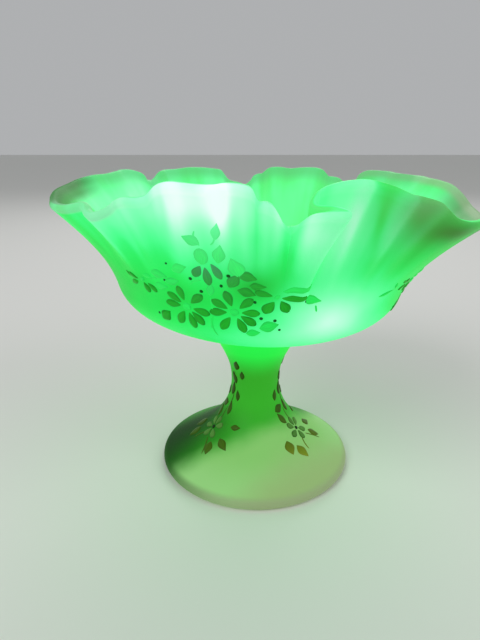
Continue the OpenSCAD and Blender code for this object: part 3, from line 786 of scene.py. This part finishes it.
# %% Enamel materials
def enamel(name, thin, thick, glow, streaks=0.35, tints=()):
    """Thin paint lets the glow through and thick paint hides it.

    A tint is a centre and a size in mm, an amount and a colour.
    """
    material, tree = new_material(name)
    uv = add(tree, "UVMap", uv_map="stroke").outputs["UV"]
    parts = add(tree, "SeparateXYZ", {"Vector": uv})
    across = math_node(tree, "ABSOLUTE", math_node(tree, "SUBTRACT", parts.outputs["X"], 0.5))
    rim = map_range(tree, across, 0.25, 0.48)
    tip = map_range(tree, parts.outputs["Y"], 0.82, 0.98)
    edge = math_node(tree, "MAXIMUM", rim, tip)
    tone = add(tree, "Attribute", attribute_name="tone").outputs["Fac"]
    # The noise runs in the stroke's own frame, nine times finer across it than along it
    squeezed = math_node(tree, "MULTIPLY", parts.outputs["X"], 9.0)
    another = math_node(tree, "MULTIPLY", tone, 40.0)
    hairs = add(tree, "CombineXYZ", {"X": squeezed, "Y": parts.outputs["Y"], "Z": another})
    streak = add(tree, "TexNoise", {"Vector": hairs.outputs[0], "Scale": 1.6, "Detail": 2.0})
    streak = streak.outputs["Fac"]
    amount = math_node(tree, "ADD", math_node(tree, "MULTIPLY", edge, 0.5),
                       math_node(tree, "MULTIPLY", map_range(tree, streak, 0.35, 0.65), streaks))
    amount = math_node(tree, "ADD", amount, math_node(tree, "MULTIPLY", tone, 0.25), clamp=True)
    colour = mix(tree, amount, thin, thick)
    place = add(tree, "TexCoord").outputs["Object"]
    for centre, size, most, tint in tints:
        here = math_node(tree, "MULTIPLY", spot(tree, place, centre, size), most)
        colour = mix(tree, here, colour, tint)
    bump = add(tree, "Bump", {"Height": streak, "Strength": 0.25, "Distance": 0.15 * MM})
    shader = add(tree, "BsdfPrincipled", {
        "Base Color": mix(tree, 0.6, colour, "#040804"), "Roughness": 0.35, "IOR": 1.52,
        "Specular IOR Level": 0.1,
        "Normal": bump.outputs["Normal"], "Emission Color": colour, "Emission Strength": glow})
    add(tree, "OutputMaterial", {"Surface": shader.outputs["BSDF"]})
    return material


dark_enamel = enamel("fired_enamel_dark_green", "#18b020", "#0a7810", 0.72,
                     tints=[((-17, -72, 113), (7, 10, 5), 0.9, "#489068")])
# The pale enamel's mint patch is a painted highlight where the lamp's bright streak falls
pale_enamel = enamel("fired_enamel_thin_green", "#18dc4c", "#0cb43c", 0.88,
                     tints=[((-14, -76, 132), (14, 18, 10), 1.0, "#6cf0a4")])
dot_enamel = enamel("fired_enamel_dots", "#0c7a24", "#085018", 0.25)
ivory_enamel = enamel("fired_enamel_ivory", "#58903c", "#244c10", 0.48, 0.2)
brown_enamel = enamel("fired_enamel_brown", "#1c3c0c", "#0c2406", 0.2)
# On the foot's leaves, yellow and a lighter olive are painted where the room's light falls: painted light
olive_enamel = enamel("fired_enamel_olive", "#2c6010", "#143804", 0.5, 0.5,
                      tints=[((22, -28, 10), (16, 16, 6), 0.9, "#98a428"),
                             ((-22, -22, 9), (12, 14, 4), 0.7, "#4c6c14")])
print("enamels:", [m.name for m in bpy.data.materials if m.name.startswith("fired_enamel")])

# %% [markdown]
# ## The spray on the bowl
#
# Two open daisies, three daisies seen from the side, leaves, stalks and dots. The second spray is the
# first one carried round the bowl.

# %% Strokes of the bowl's spray
petals = (
    around(245, 50, [105, 41, -13, -47, -77, -122, 177, 145], 2.5, 6.4, 3.4, BOWL_R)
    + around(260.6, 50, [108, 45, 2, -31, -64, -124, -175, 151], 2.5, 6.4, 3.4, BOWL_R)
    + [stroke(251.9, 67.4, -122, 5.2, 3.2), stroke(253, 67, -84, 7.2, 3.4),
       stroke(254.8, 68.6, -58, 6.8, 3.4), stroke(228, 59.8, 165, 5.2, 2.8),
       stroke(227.2, 58.2, 205, 5.2, 2.6), stroke(229.6, 58.2, -75, 5.2, 3),
       stroke(231.2, 58, -48, 5.4, 2.8), stroke(272.2, 56, -118, 6.2, 4.4),
       stroke(274.4, 56.4, -58, 6.2, 4.4), stroke(271.6, 58.6, 172, 6, 3),
       stroke(274.6, 57.8, -6, 7.4, 3)])
centres = [stroke(243.6, 50, 0, 3.2, 3.2, 0, ROUND), stroke(259.2, 50, 0, 3.2, 3.2, 0, ROUND),
           stroke(252.6, 68, 90, 6.2, 4.6, 0, ROUND), stroke(229.2, 58.8, 60, 2.6, 1.8, 0, ROUND),
           stroke(272.4, 57.2, 60, 2.4, 1.8, 0, ROUND)]
dark_leaves = [leaf(264.6, 65, 0, 7.6, 4.2), leaf(264.4, 58.6, -10, 6.6, 4),
               leaf(260.8, 62.6, 60, 6.4, 4), leaf(235.4, 44.4, 40, 6.4, 4.4),
               leaf(267.4, 61.8, 10, 6, 3.6), leaf(223.2, 60.6, 150, 4.4, 1.8)]
pale_leaves = [
    leaf(245.6, 66, 10, 7.2, 4.4), leaf(237.6, 63, -15, 6.8, 4.4), leaf(236.8, 57.4, 0, 6.4, 3.6),
    leaf(241.6, 60.4, 5, 6.6, 3.6), leaf(257.6, 72.4, 75, 7.4, 5.2), leaf(261.4, 67.8, 110, 7.6, 5.4),
    leaf(250.8, 77, 150, 5.4, 4.4), leaf(257.5, 80.6, 75, 6.4, 4), leaf(253.8, 58.4, 80, 5.4, 3),
    leaf(279.6, 61.4, 3, 11.5, 3), leaf(284, 55.6, -10, 6.8, 4), leaf(271.4, 45, 15, 6.8, 4.8),
    leaf(266.4, 42, 10, 5.2, 3.6), leaf(232.2, 61.8, 160, 4.6, 2.6)]
stalks = [stalk(253.3, 55.4, -93, 13, 0.8), stalk(253.3, 47, -82, 8.5, -0.6),
          stalk(252.8, 75, 96, 5.6, 1), stalk(255.4, 75.6, 70, 4.4, -0.8),
          stalk(285.6, 53.4, -75, 2.8), stalk(248, 59.4, 30, 4.6, 0.6),
          stalk(276.4, 60, 14, 5, 0.4), stalk(233, 60, 10, 4, 0.5)]
dots = [dot(248.5, 62), dot(250.9, 57.2), dot(257.2, 60.2), dot(238.9, 60.6, 1), dot(232.4, 44.6, 1),
        dot(241.2, 68.4, 1), dot(266.8, 55), dot(259.6, 64.4), dot(268.9, 48.2), dot(273.2, 47.4),
        dot(275, 43.8, 1), dot(281.2, 55.4, 1)]
print("strokes of the spray:", sum(map(len, (petals, centres, dark_leaves, pale_leaves, stalks, dots))))

# %% Lay the front and the side spray
side_turn = 97
more_leaves = [leaf(312.8, 56, 20, 9, 1.8), leaf(315.8, 59.4, -58, 5.4, 1.6)]
side_leaves = turned(pale_leaves, side_turn) + more_leaves


def bowl_radius(up):
    """The bowl's radius at a length up its wall, in mm."""
    return float(plain(np.interp(up, wall_length, wall_s))[0]) + shoulder_t / 2


coats = [("petals", petals, "enamel_dark", dark_enamel), ("centres", centres, "enamel_pale", pale_enamel),
         ("dark_leaves", dark_leaves, "enamel_dark", dark_enamel),
         ("pale_leaves", pale_leaves, "enamel_pale", pale_enamel),
         ("stalks", stalks, "enamel_pale", pale_enamel), ("dots", dots, "enamel_dot", dot_enamel)]
for coat, strokes, slot_name, material in coats:
    paint("enamel_front_" + coat, "front_" + coat, strokes, on_bowl, bowl_radius, material)
    second = side_leaves if coat == "pale_leaves" else turned(strokes, side_turn)
    paint("enamel_side_" + coat, "side_" + coat, second, on_bowl, bowl_radius, material)

# %% [markdown]
# ## The sprays on the pedestal
#
# One spray is painted three times, a third of a turn apart, from the waist of the stem down to the
# dome of the foot.

# %% Strokes of the pedestal's sprays
spray = {
    "petals": (around(0, 26.6, [35, 88, 140, 200, 262, 318], 1.4, 5, 3.3, 22),
               "enamel_ivory", ivory_enamel),
    "centre": ([stroke(-2.6, 26.6, 0, 2, 2, 0, ROUND)], "enamel_brown", brown_enamel),
    "leaves": ([leaf(-12, 34.5, 120, 7.4, 3.8), leaf(-22, 39.6, 20, 6, 4.4), leaf(10, 39, 95, 7.4, 3.6),
                leaf(2, 49, 80, 7.6, 3.8), leaf(14, 55, 110, 6.6, 3.8), leaf(20, 62.6, 75, 6.2, 3.6),
                leaf(24, 22, -35, 7.4, 4.2), leaf(15, 17.4, -70, 7, 4.6), leaf(-27, 20.6, -95, 7.2, 5),
                leaf(-18, 16.6, -80, 7.4, 4.8), leaf(-18, 46.5, 80, 6, 3), leaf(24, 46.4, 100, 5.6, 3),
                leaf(30, 31.5, 10, 5.4, 3), leaf(33, 57.5, 85, 5, 2.8)], "enamel_olive", olive_enamel),
    "stalk": ([stalk(3, 30, 96, 9, 0.5), stalk(4, 40, 82, 8, -0.4), stalk(5, 21.5, -60, 9.5, 0.6),
               stalk(9, 48, 86, 11, 0.6), stalk(-4, 22, -108, 7, -0.5)],
              "enamel_olive", olive_enamel)}


def pedestal_radius(up):
    """The pedestal's radius at a length up its outline, in mm."""
    return float(np.interp(up, pedestal_length, pedestal_outline[:, 0]))


sprays = (("left", 203), ("right", 334), ("back", 88))
for where, at in sprays:
    for coat, (strokes, slot_name, material) in spray.items():
        paint(f"enamel_{where}_{coat}", f"pedestal_{where}_{coat}", turned(strokes, at),
              on_pedestal, pedestal_radius, material)
print("pedestal sprays at, degrees:", [at for _, at in sprays])

# %% [markdown]
# ## Floor, light and camera
#
# A pale matt floor and three broad lights keep the shadows soft. The camera is close and looks down
# at the dish a little, with the lens of a phone held in front of it.

# %% Floor
floor_size = 24.0
bpy.ops.mesh.primitive_grid_add(x_subdivisions=8, y_subdivisions=8, size=floor_size)
floor = bpy.context.object
floor.name = "floor"
paper, tree = new_material("pale_matt_paper")
shader = add(tree, "BsdfPrincipled", {"Base Color": linear("#dcdcd8"), "Roughness": 0.9})
add(tree, "OutputMaterial", {"Surface": shader.outputs["BSDF"]})
floor.data.materials.append(paper)
print("floor across, m:", floor_size)

# %% World and lights
world = bpy.data.worlds.new("soft_studio")
bpy.context.scene.world = world
world.use_nodes = True
background = world.node_tree.nodes["Background"]
background.inputs["Color"].default_value = linear("#e4e6e8")
background.inputs["Strength"].default_value = 0.55
aim_height = 0.08


def softbox(name, location, size, power):
    """A round white light, in metres and watts, turned to the middle of the dish."""
    data = bpy.data.lights.new(name, "AREA")
    data.shape, data.size, data.energy = "DISK", size, power
    light = bpy.data.objects.new(name, data)
    bpy.context.scene.collection.objects.link(light)
    light.location = location
    aim = Vector((0, 0, aim_height)) - Vector(location)
    light.rotation_euler = aim.to_track_quat("-Z", "Y").to_euler()


softbox("key_light", (-0.7, -0.8, 1.0), 0.8, 7)
softbox("fill_light", (0.9, -0.5, 0.7), 0.9, 3)
softbox("back_light", (0.1, 1.0, 0.9), 0.8, 4)
print("lights:", [light.name for light in bpy.data.lights])

# %% Camera
look_down = 18.98
camera_data = bpy.data.cameras.new("camera")
camera_data.sensor_width = 36
camera_data.lens = 28.1
camera = bpy.data.objects.new("camera", camera_data)
bpy.context.scene.collection.objects.link(camera)
camera.location = (-0.00745, -0.222, 0.148)
camera.rotation_euler = (math.radians(90 - look_down), 0, 0)
bpy.context.scene.camera = camera
bpy.context.scene.view_settings.view_transform = "Standard"
print("camera height, mm:", round(1000 * camera.location.z), " lens, mm:", camera_data.lens)
